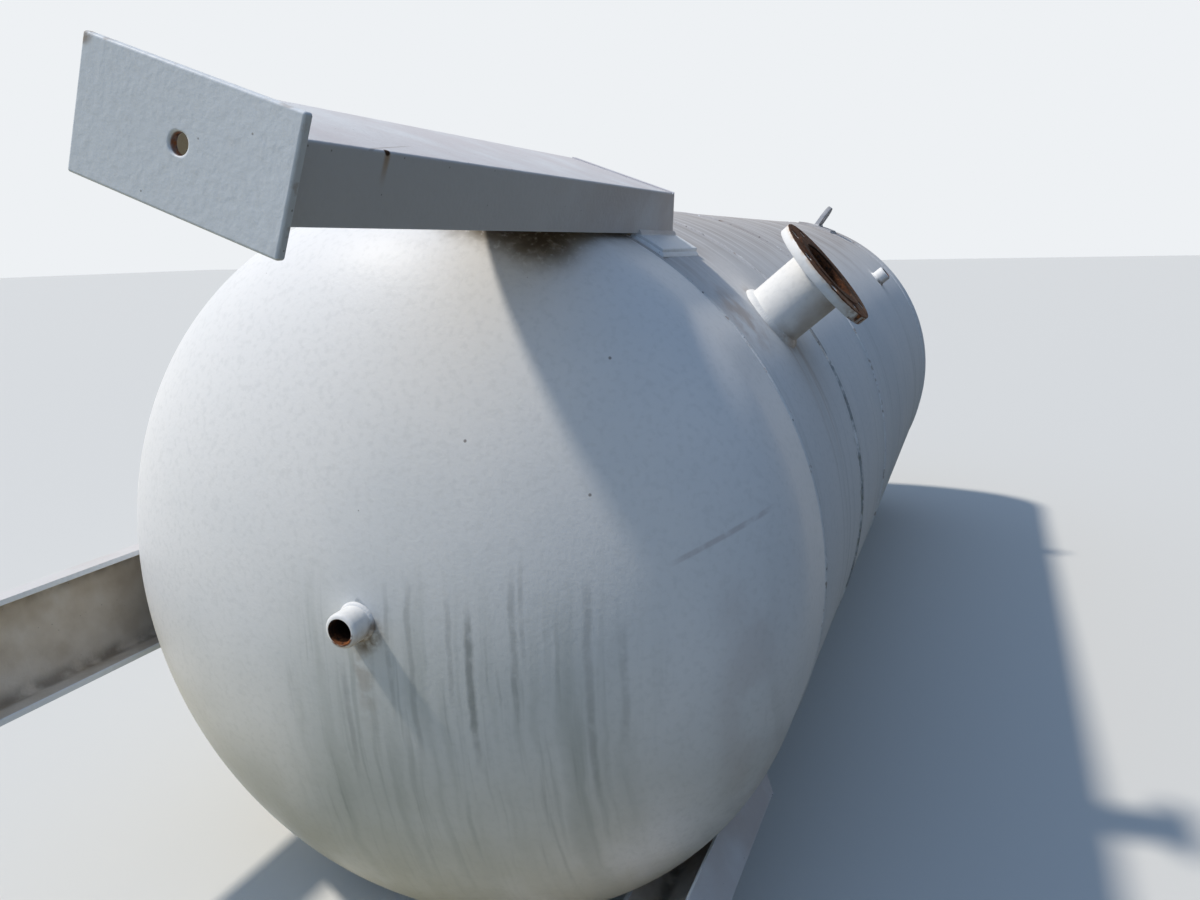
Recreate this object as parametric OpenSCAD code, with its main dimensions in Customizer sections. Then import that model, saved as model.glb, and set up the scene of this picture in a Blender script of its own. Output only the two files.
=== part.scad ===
// Welded steel pressure vessel with dished ends and three channel legs, lying on its side.
// The vessel axis runs along +Y. The legs stand out past the near head, which faces -Y.
// The origin is on the ground, under the middle of the bounding box.

/* [Vessel] */
// Outside diameter of the shell
shell_od = 1220; // [1100:10:1400]
// Plate thickness of shell and heads
plate_t = 8; // [6:1:14]
// Length from one tangent line to the other, where the dished ends begin
tangent_len = 2767; // [2400:10:4000]
// Length of straight flange on each head, up to its girth weld
head_straight = 118; // [60:1:125]
// Length of the first shell course, which holds the nozzle
course_1_len = 476; // [440:1:600]
// Length of the second shell course
course_2_len = 480; // [300:1:700]
// Depth of each dished head, from its tangent line to its pole
head_depth = 308; // [240:1:360]

/* [Welds] */
// Width of a weld bead
bead_w = 14; // [8:1:18]
// Height of a weld bead above the plate
bead_h = 2; // [1:0.5:3]
// Clock angles of the long welds, one for each course, seen from the near head
long_weld_clock = [-45, -75, -30]; // [-80:1:-20]

/* [Legs] */
// Depth of the channel, across its web
channel_w = 190; // [150:1:210]
// Height of the channel's flanges, outside
channel_h = 69; // [55:1:90]
// Thickness of the channel's web
web_t = 8; // [6:1:12]
// Thickness of the channel's flanges
flange_t = 10; // [7:1:12]
// Radius of the fillet in each inside corner of the channel
root_r = 10; // [5:1:14]
// How far the base plates stand out past the near tangent line
leg_reach = 710; // [600:5:900]
// How far the legs run along the shell past the near tangent line, at the pads
leg_lap = 313; // [290:1:318]
// Angle of the mitred leg top, from square
mitre = 43; // [30:1:48]
// Thickness of the plate that closes the leg top
cap_t = 8; // [5:1:12]
// How far the closing plate stands proud of the web
cap_proud = 3; // [1:0.5:6]

/* [Base plates] */
// Width of a base plate, across the leg
base_w = 223; // [215:1:260]
// Height of a base plate, away from the vessel axis
base_h = 113; // [100:1:130]
// Thickness of a base plate
base_t = 10; // [8:1:20]
// Diameter of the anchor hole
anchor_d = 18; // [14:1:24]

/* [Leg pads] */
// Thickness of the pads under the legs
pad_t = 10; // [6:1:14]
// Width of a pad, across the leg
pad_w = 286; // [240:2:320]
// Length of a pad, along the shell
pad_len = 190; // [180:1:240]
// Gap left between the girth weld and the pad
pad_gap = 8; // [4:1:20]

/* [Nozzle] */
// Clock angle of the nozzle, seen from the near head
nozzle_clock = 49.85; // [45:0.05:90]
// Distance of the nozzle from the near tangent line
nozzle_y = 373; // [330:1:420]
// How far the nozzle's flange face stands out from the shell
nozzle_out = 128; // [100:1:190]
// Outside diameter of the nozzle pipe
nozzle_od = 114.3; // [88.9:0.1:141.3]
// Wall thickness of the nozzle pipe
nozzle_wall = 6; // [4:0.5:9]
// How far the nozzle pipe reaches inside the shell
nozzle_inside = 12; // [8:1:30]
// Outside diameter of the nozzle flange
nozzle_flange_od = 210; // [200:1:255]
// Thickness of the nozzle flange, with its raised face
nozzle_flange_t = 20; // [16:1:26]
// Diameter of the raised face
raised_face_d = 151; // [148:1:158]
// Height of the raised face
raised_face_h = 2; // [1:0.5:3]
// Diameter of the circle that the bolt holes lie on
bolt_circle_d = 175; // [174:1:178]
// Diameter of a bolt hole
bolt_hole_d = 19; // [14:1:20]
// Number of bolt holes
bolt_count = 8; // [4:4:12]

/* [Threaded couplings] */
// Outside diameter of a coupling
coupling_od = 50; // [44:1:58]
// Bore of a coupling, at the thread
coupling_bore = 32; // [26:1:36]
// Length of a coupling
coupling_len = 60; // [56:1:80]
// How far a coupling stands out of the plate
coupling_out = 37; // [25:1:42]
// Chamfer round a coupling's mouth
coupling_chamfer = 3; // [1:0.5:5]
// Sideways place of the drain coupling on the near head
drain_x = 41; // [0:1:60]
// Upward place of the drain coupling on the near head
drain_z = 27; // [0:1:60]
// Distance of the far coupling from the near tangent line
far_coupling_y = 2135; // [1800:5:2300]

/* [Lifting lug] */
// Clock angle of the lug, seen from the near head
lug_clock = 17.5; // [10:0.5:30]
// Lean of the bent lug, away from square to the shell
lug_lean = 18; // [0:1:25]
// Distance of the lug from the far girth weld
lug_from_weld = 70; // [60:1:200]
// Width of the lug, along the vessel
lug_w = 90; // [70:1:110]
// Height of the lug above its pad
lug_h = 84; // [76:1:110]
// Thickness of the lug
lug_t = 16; // [10:1:20]
// Diameter of the lug's eye
lug_eye_d = 30; // [20:1:34]
// Width of the square pad under the lug
lug_pad_w = 130; // [120:1:160]
// Thickness of the pad under the lug
lug_pad_t = 8; // [5:1:10]

/* [Hidden] */
$fn = 96;

paint = "#e4e6e8";
rust = "#6b4630";

// Radii about the vessel axis
shell_r = shell_od / 2;
inner_r = shell_r - plate_t;
bead_r = shell_r + bead_h;
pad_r = shell_r + pad_t;
lug_pad_r = shell_r + lug_pad_t;

// Steps round the large turned shapes
turn_steps = 180;
// Step between the points of a head's half ellipse, in degrees round it
head_step = 2.5;
// Step between the points of a channel's fillet, in degrees round it
root_step = 15;

// Places of the girth welds along the axis, which also end the shell courses
girth = [head_straight, head_straight + course_1_len,
         head_straight + course_1_len + course_2_len, tangent_len - head_straight];

// Legs: the toes rest on the pads, and the web lies outside
toe_r = sqrt(pow(pad_r, 2) - pow(channel_w / 2, 2));
web_r = toe_r + channel_h;
anchor_r = toe_r + channel_h / 2;
pad_start = head_straight + bead_w / 2 + pad_gap;

// The vessel lies on its girth welds and on the outer corner of the right leg's base plate
corner_out = anchor_r + base_h / 2;
corner_side = base_w / 2;
corner_r = sqrt(pow(corner_out, 2) + pow(corner_side, 2));
right_clock = acos(-bead_r / corner_r) - atan2(corner_side, corner_out);
top_clock = right_clock - 120;
left_clock = right_clock - 240;

nozzle_face_r = shell_r + nozzle_out;

// Bounding box about the axis, which sets the origin
left_edge = max(bead_r, -corner_out * sin(left_clock) - corner_side * cos(left_clock));
right_edge = max(bead_r, nozzle_face_r * sin(nozzle_clock) + nozzle_flange_od / 2 * cos(nozzle_clock));
near_edge = leg_reach;
far_edge = tangent_len + head_depth;
axis_x = (left_edge - right_edge) / 2;
axis_y = (near_edge - far_edge) / 2;
axis_z = bead_r;

lug_y = girth[3] - lug_from_weld;

// Far more than any wall, for cuts that must run clear through
beyond = 2 * shell_od;
// How far a cut runs past the face it opens
past = plate_t / 4;

// Puts a piece made at the top of the vessel, about the axis, at its clock angle
module at_clock(clock) {
    translate([axis_x, axis_y, axis_z]) rotate([0, clock, 0]) children();
}

// Turns a shape made about Z so that it lies about the vessel axis, with its Z along +Y
module along_axis() {
    rotate([-90, 0, 0]) children();
}

// A ring of rectangular section about the vessel axis
module tube(inside, outside, start, length) {
    translate([0, start, 0]) along_axis() difference() {
        cylinder(r = outside, h = length);
        translate([0, 0, -past]) cylinder(r = inside, h = length + 2 * past);
    }
}

// A quarter of an ellipse, from its pole below to its tangent line at zero
function quarter_ellipse(radius, depth) =
    [for (a = [0 : head_step : 90]) [radius * sin(a), -depth * cos(a)]];

// Section of a dished head: the space inside it is taken from its outer form
module head_section() {
    difference() {
        polygon(concat(quarter_ellipse(shell_r, head_depth),
                       [[shell_r, head_straight], [0, head_straight]]));
        polygon(concat(quarter_ellipse(inner_r, head_depth - plate_t),
                       [[inner_r, head_straight + past], [0, head_straight + past]]));
    }
}

module dished_head() {
    rotate_extrude($fn = turn_steps) head_section();
}

module near_head() {
    color(paint) at_clock(0) difference() {
        along_axis() dished_head();
        drain_place() cylinder(d = coupling_od, h = 4 * coupling_len, center = true);
    }
}

module far_head() {
    color(paint) at_clock(0) translate([0, tangent_len, 0]) mirror([0, 1, 0])
        along_axis() dished_head();
}

// One shell course, between two girth welds
module shell_course(index) {
    tube(inner_r, shell_r, girth[index], girth[index + 1] - girth[index]);
}

module shell_course_1() {
    color(paint) at_clock(0) difference() {
        shell_course(0);
        nozzle_place() cylinder(d = nozzle_od, h = beyond);
    }
}

module shell_course_2() {
    color(paint) at_clock(0) shell_course(1);
}

module shell_course_3() {
    color(paint) at_clock(0) difference() {
        shell_course(2);
        far_coupling_place() cylinder(d = coupling_od, h = 4 * coupling_len, center = true);
    }
}

// A weld bead round the vessel, with sloping sides
module girth_weld(index) {
    color(paint) at_clock(0) translate([0, girth[index], 0]) along_axis()
        rotate_extrude($fn = turn_steps)
            polygon([[shell_r, -bead_w / 2], [bead_r, -bead_w / 4],
                     [bead_r, bead_w / 4], [shell_r, bead_w / 2]]);
}

// A straight weld bead along one course, between its girth welds
module long_weld(index) {
    color(paint) at_clock(long_weld_clock[index]) intersection() {
        tube(shell_r, bead_r, girth[index] + bead_w / 2, girth[index + 1] - girth[index] - bead_w);
        translate([-bead_w / 2, 0, 0]) cube([bead_w, tangent_len, beyond]);
    }
}

// A cylinder about the vessel axis, longer than the vessel, that a foot is cut to
module seat(radius) {
    translate([0, -beyond, 0]) along_axis() cylinder(r = radius, h = 4 * beyond, $fn = turn_steps);
}

// Frame of the mitred leg top: its Y points out of the closing plate, its Z up the slope
module mitre_frame() {
    translate([0, leg_lap, toe_r]) rotate([mitre, 0, 0]) children();
}

// Quarter circle of a fillet about its centre, clockwise from an angle
function root_fillet(centre, start) =
    [for (a = [0 : root_step : 90]) centre + root_r * [cos(start - a), sin(start - a)]];

// Section of a rolled channel, with its web at the top and room below the toes for the cut to the pad
module channel_section() {
    inner_x = channel_w / 2 - flange_t;
    inner_top = web_r - web_t;
    spare = channel_h / 4;
    difference() {
        translate([-channel_w / 2, toe_r - spare]) square([channel_w, channel_h + spare]);
        polygon(concat([[-inner_x, toe_r - 2 * spare]],
                       root_fillet([root_r - inner_x, inner_top - root_r], 180),
                       root_fillet([inner_x - root_r, inner_top - root_r], 90),
                       [[inner_x, toe_r - 2 * spare]]));
    }
}

// A channel leg with its web outwards, its toes cut to the pad and its top mitred
module leg(clock) {
    color(paint) at_clock(clock) difference() {
        translate([0, leg_lap, 0]) rotate([90, 0, 0])
            linear_extrude(leg_lap + leg_reach - base_t) channel_section();
        seat(pad_r);
        mitre_frame() translate([-beyond / 2, -cap_t, -beyond / 2]) cube(beyond);
    }
}

// The plate that closes the mitred leg top, with its foot cut to the pad
module leg_cap(clock) {
    color(paint) at_clock(clock) difference() {
        mitre_frame() translate([-channel_w / 2, -cap_t, -channel_h / 2])
            cube([channel_w, cap_t, channel_h / 2 + channel_h / cos(mitre) + cap_proud]);
        seat(pad_r);
    }
}

module base_plate(clock) {
    color(paint) at_clock(clock) translate([0, -leg_reach, anchor_r]) difference() {
        translate([-base_w / 2, 0, -base_h / 2]) cube([base_w, base_t, base_h]);
        translate([0, -past, 0]) along_axis() cylinder(d = anchor_d, h = base_t + 2 * past);
    }
}

// A plate rolled to the shell, under a leg
module leg_pad(clock) {
    color(paint) at_clock(clock) intersection() {
        tube(shell_r, pad_r, pad_start, pad_len);
        translate([-pad_w / 2, 0, 0]) cube([pad_w, tangent_len, beyond]);
    }
}

// The nozzle's axis, with Z outwards and zero on the vessel axis
module nozzle_place() {
    rotate([0, nozzle_clock, 0]) translate([0, nozzle_y, 0]) children();
}

module nozzle_neck() {
    neck_start = inner_r - nozzle_inside;
    neck_end = nozzle_face_r - raised_face_h - nozzle_wall;
    color(paint) at_clock(0) nozzle_place() translate([0, 0, neck_start]) difference() {
        cylinder(d = nozzle_od, h = neck_end - neck_start);
        translate([0, 0, -past])
            cylinder(d = nozzle_od - 2 * nozzle_wall, h = neck_end - neck_start + 2 * past);
    }
}

module nozzle_flange() {
    color(rust) at_clock(0) nozzle_place() difference() {
        union() {
            translate([0, 0, nozzle_face_r - nozzle_flange_t])
                cylinder(d = nozzle_flange_od, h = nozzle_flange_t - raised_face_h);
            translate([0, 0, nozzle_face_r - nozzle_flange_t])
                cylinder(d = raised_face_d, h = nozzle_flange_t);
        }
        cylinder(d = nozzle_od, h = beyond);
        for (i = [0 : bolt_count - 1]) {
            rotate([0, 0, (i + 0.5) * 360 / bolt_count]) translate([bolt_circle_d / 2, 0, 0])
                cylinder(d = bolt_hole_d, h = beyond);
        }
    }
}

// A threaded coupling with Z out of its mouth and zero on the plate's outer face
module coupling() {
    translate([0, 0, coupling_out - coupling_len]) difference() {
        union() {
            cylinder(d = coupling_od, h = coupling_len - coupling_chamfer);
            translate([0, 0, coupling_len - coupling_chamfer])
                cylinder(d1 = coupling_od, d2 = coupling_od - 2 * coupling_chamfer, h = coupling_chamfer);
        }
        translate([0, 0, -past]) cylinder(d = coupling_bore, h = coupling_len + 2 * past);
    }
}

// The drain's place on the near head, with Z towards -Y
module drain_place() {
    off_pole = (pow(drain_x, 2) + pow(drain_z, 2)) / pow(shell_r, 2);
    translate([drain_x, -head_depth * sqrt(1 - off_pole), drain_z]) rotate([90, 0, 0]) children();
}

// The far coupling's place on the shell, in line with the nozzle
module far_coupling_place() {
    rotate([0, nozzle_clock, 0]) translate([0, far_coupling_y, shell_r]) children();
}

module drain_coupling() {
    color(paint) at_clock(0) drain_place() coupling();
}

module far_coupling() {
    color(paint) at_clock(0) far_coupling_place() coupling();
}

module lug_pad() {
    color(paint) at_clock(lug_clock) intersection() {
        tube(shell_r, lug_pad_r, lug_y - lug_pad_w / 2, lug_pad_w);
        translate([-lug_pad_w / 2, 0, 0]) cube([lug_pad_w, tangent_len, beyond]);
    }
}

// A lug plate along the vessel, with a round top and an eye, bent over to one side
module lifting_lug() {
    color(paint) at_clock(lug_clock) difference() {
        translate([0, lug_y, lug_pad_r]) rotate([0, lug_lean, 0]) translate([-lug_t / 2, 0, 0])
            rotate([90, 0, 90]) linear_extrude(lug_t) difference() {
                union() {
                    translate([-lug_w / 2, -lug_t]) square([lug_w, lug_h - lug_w / 2 + lug_t]);
                    translate([0, lug_h - lug_w / 2]) circle(d = lug_w);
                }
                translate([0, lug_h - lug_w / 2]) circle(d = lug_eye_d);
            }
        seat(lug_pad_r);
    }
}

near_head();
shell_course_1();
shell_course_2();
shell_course_3();
far_head();
girth_weld(0);  // girth_weld_1
girth_weld(1);  // girth_weld_2
girth_weld(2);  // girth_weld_3
girth_weld(3);  // girth_weld_4
long_weld(0);  // long_weld_1
long_weld(1);  // long_weld_2
long_weld(2);  // long_weld_3
leg(top_clock);  // leg_top
leg(left_clock);  // leg_left
leg(right_clock);  // leg_right
base_plate(top_clock);  // base_plate_top
base_plate(left_clock);  // base_plate_left
base_plate(right_clock);  // base_plate_right
leg_cap(top_clock);  // leg_cap_top
leg_cap(left_clock);  // leg_cap_left
leg_cap(right_clock);  // leg_cap_right
leg_pad(top_clock);  // leg_pad_top
leg_pad(left_clock);  // leg_pad_left
leg_pad(right_clock);  // leg_pad_right
nozzle_neck();
nozzle_flange();
drain_coupling();
far_coupling();
lug_pad();
lifting_lug();
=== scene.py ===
from math import asin, atan2, cos, pi, radians, sin, sqrt, tan

import bpy
import bmesh
import numpy as np
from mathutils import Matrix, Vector


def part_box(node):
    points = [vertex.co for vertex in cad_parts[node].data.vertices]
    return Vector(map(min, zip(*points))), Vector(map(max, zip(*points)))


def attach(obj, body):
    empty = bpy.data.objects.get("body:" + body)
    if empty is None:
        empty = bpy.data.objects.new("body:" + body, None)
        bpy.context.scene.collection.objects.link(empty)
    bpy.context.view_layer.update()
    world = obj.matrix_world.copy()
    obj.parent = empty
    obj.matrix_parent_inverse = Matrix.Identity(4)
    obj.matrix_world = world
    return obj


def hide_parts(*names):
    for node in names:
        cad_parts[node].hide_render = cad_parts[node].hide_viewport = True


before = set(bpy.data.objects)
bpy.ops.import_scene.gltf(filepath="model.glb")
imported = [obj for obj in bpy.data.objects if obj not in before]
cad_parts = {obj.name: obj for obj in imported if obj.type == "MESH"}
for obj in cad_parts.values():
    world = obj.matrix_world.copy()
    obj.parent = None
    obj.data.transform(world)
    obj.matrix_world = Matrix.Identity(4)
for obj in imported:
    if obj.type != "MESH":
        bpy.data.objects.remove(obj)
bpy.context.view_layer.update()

# Heads: two dished ends of 8 mm steel plate, pressed to a half ellipse with a short straight flange.
# They are butt-welded to the shell, and the near one has a hole for the drain coupling.
# The whole vessel was sprayed with white enamel in the works, and has stood in the weather since.
HEAD_STRAIGHT = 0.118
PLATE = 0.008
AROUND = 360

head_low, head_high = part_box("near_head")
far_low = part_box("far_head")[0]
shell_low, shell_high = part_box("shell_course_1")
SHELL_R = round((shell_high.x - shell_low.x) / 2, 3)
AXIS = np.array([(shell_low.x + shell_high.x) / 2, head_high.y - HEAD_STRAIGHT,
                 (shell_low.z + shell_high.z) / 2])
HEAD_DEPTH = AXIS[1] - head_low.y
FAR_TANGENT = far_low.y + HEAD_STRAIGHT - AXIS[1]
ALONG = np.array([0.0, 1.0, 0.0])

DRAIN_X = 0.041
DRAIN_Z = 0.027
COUPLING_R = 0.025
DRAIN_Y = -HEAD_DEPTH * sqrt(1 - (DRAIN_X ** 2 + DRAIN_Z ** 2) / SHELL_R ** 2)
DRAIN = np.array([DRAIN_X, DRAIN_Y, DRAIN_Z])


def outward(clock):
    """The direction away from the vessel's axis at a clock angle, seen from the near head."""
    return np.array([sin(clock), 0.0, cos(clock)])


def sideways(clock):
    """The direction round the vessel, clockwise, at a clock angle."""
    return np.array([cos(clock), 0.0, -sin(clock)])


def loft(name, rings, closed, sharp=35):
    """Skins a row of rings of points, and closes its ends unless the row runs back to its start."""
    rings = np.asarray(rings, float)
    count, size = rings.shape[:2]
    faces = []
    for i in range(count if closed else count - 1):
        here, there = i * size, (i + 1) % count * size
        for j in range(size):
            k = (j + 1) % size
            faces.append((here + j, here + k, there + k, there + j))
    if not closed:
        faces.append(range(size))
        faces.append(range((count - 1) * size, count * size))
    mesh = bpy.data.meshes.new(name)
    mesh.from_pydata(rings.reshape(-1, 3).tolist(), [], faces)
    work = bmesh.new()
    work.from_mesh(mesh)
    bmesh.ops.remove_doubles(work, verts=work.verts, dist=1e-6)
    bmesh.ops.recalc_face_normals(work, faces=work.faces)
    work.to_mesh(mesh)
    work.free()
    mesh.shade_smooth()
    mesh.set_sharp_from_angle(angle=radians(sharp))
    piece = bpy.data.objects.new(name, mesh)
    bpy.context.scene.collection.objects.link(piece)
    return piece


def spin(name, profile, steps=AROUND):
    """Spins a closed outline of (radius, distance along the axis) about the vessel's axis."""
    profile = np.asarray(profile, float)
    rings = []
    for clock in np.arange(steps) * 2 * pi / steps:
        rings.append(AXIS + profile[:, :1] * outward(clock) + profile[:, 1:] * ALONG)
    return loft(name, rings, closed=True)


def drill(piece, centre, direction, radius, reach=0.12, steps=96):
    """Cuts a round hole through a piece, as far as a reach both ways from a point on its axis."""
    turn = Vector(direction).to_track_quat("Z", "Y").to_matrix()
    rings = []
    for height in (-reach, reach):
        rings.append([turn @ Vector((radius * cos(a), radius * sin(a), height)) + Vector(centre)
                      for a in np.arange(steps) * 2 * pi / steps])
    cutter = loft("cutter", rings, closed=False)
    cut = piece.modifiers.new("hole", "BOOLEAN")
    cut.operation = "DIFFERENCE"
    cut.solver = "EXACT"
    cut.object = cutter
    graph = bpy.context.evaluated_depsgraph_get()
    mesh = bpy.data.meshes.new_from_object(piece.evaluated_get(graph))
    piece.modifiers.clear()
    piece.data = mesh
    bpy.data.objects.remove(cutter)


def node(tree, kind, inputs, out=0, **settings):
    """Adds a shader node with its settings; inputs are plain values or outputs of other nodes."""
    made = tree.nodes.new("ShaderNode" + kind)
    for key, value in settings.items():
        setattr(made, key, value)
    for key, value in inputs.items():
        if isinstance(value, bpy.types.NodeSocket):
            tree.links.new(value, made.inputs[key])
        else:
            made.inputs[key].default_value = value
    return made.outputs[out]


def linear(colour):
    """The linear colour of an sRGB hex value."""
    parts = [int(colour[i:i + 2], 16) / 255 for i in (1, 3, 5)]
    return [p / 12.92 if p <= 0.04045 else ((p + 0.055) / 1.055) ** 2.4 for p in parts] + [1.0]


class Finish:
    """The finish on one kind of piece, whose colour, roughness and height build up layer by layer.

    Places are metres from the vessel's axis and near tangent line, and masks run from 0 to 1.
    """

    def __init__(self, name, colour, roughness):
        self.material = bpy.data.materials.new(name)
        self.material.use_nodes = True
        self.tree = self.material.node_tree
        self.shader = self.tree.nodes["Principled BSDF"]
        place = node(self.tree, "TexCoord", {}, out=3)
        self.place = node(self.tree, "VectorMath", {0: place, 1: AXIS}, operation="SUBTRACT")
        self.x, self.y, self.z = node(self.tree, "SeparateXYZ", {0: self.place}).node.outputs
        self.colour = linear(colour)
        self.rough = roughness
        self.height = None

    def mask(self, *parts):
        """Product of masks, plain strengths, and (value, none, full) that fade from 0 to 1."""
        product = None
        for part in parts:
            if isinstance(part, tuple):
                value, none, full = part
                part = node(self.tree, "MapRange", {0: value, 1: none, 2: full},
                            interpolation_type="SMOOTHSTEP")
            if product is not None:
                part = node(self.tree, "Math", {0: product, 1: part}, operation="MULTIPLY")
            product = part
        return product

    def patches(self, size, none, full, detail=4.0):
        """Cloudy patches about a size across; none and full say how much of the surface they cover."""
        cloud = node(self.tree, "TexNoise",
                     {"Vector": self.place, "Scale": 0.5 / size, "Detail": detail})
        return self.mask((cloud, none, full))

    def wavered(self, value, reach, size=0.03):
        """A value that wavers by half a reach either way, for ragged edges and crooked lines."""
        cloud = node(self.tree, "TexNoise", {"Vector": self.place, "Scale": 0.5 / size, "Detail": 3.0})
        shift = node(self.tree, "Math", {0: cloud, 1: 0.5}, operation="SUBTRACT")
        return node(self.tree, "Math", {0: shift, 1: 2 * reach, 2: value}, operation="MULTIPLY_ADD")

    def off(self, value, centre):
        """How far a value lies from a centre, either way."""
        gap = node(self.tree, "Math", {0: value, 1: centre}, operation="SUBTRACT")
        return node(self.tree, "Math", {0: gap}, operation="ABSOLUTE")

    def from_line(self, point, direction):
        """Distance from the line through a point."""
        gap = node(self.tree, "VectorMath", {0: self.place, 1: point}, operation="SUBTRACT")
        turn = node(self.tree, "VectorMath", {0: gap, 1: direction}, operation="CROSS_PRODUCT")
        return node(self.tree, "VectorMath", {0: turn}, out=1, operation="LENGTH")

    def near(self, point, radius, soft):
        """1 within a radius of a point, and 0 past its soft edge."""
        gap = node(self.tree, "VectorMath", {0: self.place, 1: point}, out=1, operation="DISTANCE")
        return self.mask((gap, radius + soft, radius))

    def along(self, direction, start=0.0):
        """How far a place lies in a direction, past a start."""
        reach = node(self.tree, "VectorMath", {0: self.place, 1: direction}, out=1,
                     operation="DOT_PRODUCT")
        return node(self.tree, "Math", {0: reach, 1: start}, operation="SUBTRACT")

    def runs(self, across, down, width, length, none, full, seed=0.0):
        """Marks that water leaves: patches of a width, drawn out to a length, with a slight waver."""
        across = self.wavered(across, width * 0.8, 0.05)
        across = node(self.tree, "Math", {0: across, 1: width}, operation="DIVIDE")
        down = node(self.tree, "Math", {0: down, 1: length}, operation="DIVIDE")
        drawn = node(self.tree, "CombineXYZ", {0: across, 1: down, 2: seed})
        cloud = node(self.tree, "TexNoise", {"Vector": drawn, "Scale": 0.6, "Detail": 2.0})
        return self.mask((cloud, none, full))

    def lay(self, colour, mask, rough=None):
        """Lays a colour, and a roughness if it has one, over what is there, as far as the mask says."""
        self.colour = node(self.tree, "Mix", {0: mask, 6: self.colour, 7: linear(colour)}, out=2,
                           data_type="RGBA")
        if rough is not None:
            self.rough = node(self.tree, "Mix", {0: mask, 2: self.rough, 3: rough}, data_type="FLOAT")

    def emboss(self, mask, depth):
        """Raises the surface by a depth in metres, as far as the mask says."""
        part = node(self.tree, "Math", {0: mask, 1: depth}, operation="MULTIPLY")
        if self.height is not None:
            part = node(self.tree, "Math", {0: self.height, 1: part}, operation="ADD")
        self.height = part

    def specks(self, spacing, radius, share, strength):
        """Small dark specks about a spacing apart, of which a share shows."""
        cell = node(self.tree, "TexVoronoi", {"Vector": self.place, "Scale": 1 / spacing}).node.outputs
        pick = node(self.tree, "SeparateColor", {0: cell["Color"]})
        spot = (cell["Distance"], 1.6 * radius / spacing, 0.7 * radius / spacing)
        self.lay("#5a5048", self.mask(spot, (pick, 1 - share, 1.02 - share), strength), 0.7)

    def rust(self, mask, strength=0.9):
        """Rust through the paint: matt brown, darker and more orange in patches, and a little raised."""
        self.lay("#74482d", self.mask(mask, strength), 0.9)
        self.lay("#a5663a", self.mask(mask, strength, self.patches(0.003, 0.5, 0.68)))
        self.lay("#35241c", self.mask(mask, strength, self.patches(0.004, 0.48, 0.34)))
        self.emboss(self.mask(mask, self.patches(0.003, 0.2, 0.8)), 0.0004)

    def done(self):
        """Gives the shader what was laid."""
        for value, socket in ((self.colour, "Base Color"), (self.rough, "Roughness")):
            if isinstance(value, bpy.types.NodeSocket):
                self.tree.links.new(value, self.shader.inputs[socket])
            else:
                self.shader.inputs[socket].default_value = value
        if self.height is not None:
            bump = node(self.tree, "Bump", {"Height": self.height, "Distance": 1.0})
            self.tree.links.new(bump, self.shader.inputs["Normal"])
        return self.material


def enamel(name, colour="#efeeed", peel=0.00012, rough=0.42, shine=0.12):
    """White alkyd enamel sprayed on steel. It has chalked in the sun, so it is nearly matt and faintly
    mottled, and what shine is left shows its orange peel."""
    coat = Finish(name, colour, rough)
    coat.shader.inputs["Specular IOR Level"].default_value = shine
    coat.lay("#d3d8dc", coat.mask(coat.patches(0.22, 0.42, 0.72), 0.4))
    coat.lay("#cccdcc", coat.mask(coat.patches(0.005, 0.46, 0.72), 0.22))
    coat.emboss(coat.patches(0.003, 0.2, 0.8, 2.0), peel)
    return coat


# Places of what weather has left on the near head: long dark runs as (x, top, bottom, width, strength),
# three specks, the clock angle of the leg above the mildew and painted shade, a slanting scuff and an
# upright brown band.
LONG_RUNS = ((0.205, 0.06, -0.17, 0.008, 0.50), (0.088, 0.08, -0.12, 0.006, 0.22),
             (0.121, 0.09, -0.18, 0.007, 0.25), (0.178, 0.08, -0.10, 0.006, 0.20),
             (0.266, 0.11, -0.10, 0.007, 0.26), (0.278, 0.13, -0.02, 0.005, 0.20),
             (0.360, 0.10, -0.22, 0.008, 0.24), (0.404, 0.04, -0.14, 0.008, 0.20),
             (0.012, -0.04, -0.22, 0.008, 0.24))
SPECKS = ((0.1967, -0.2552, 0.2791), (0.3628, -0.1566, 0.3799), (0.3586, -0.2251, 0.2117))
TOP_CLOCK = radians(20.2)
SCUFF_SLOPE = 0.51
SCUFF_Z = -0.114
BROWN_BAND_X = 0.545


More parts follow.
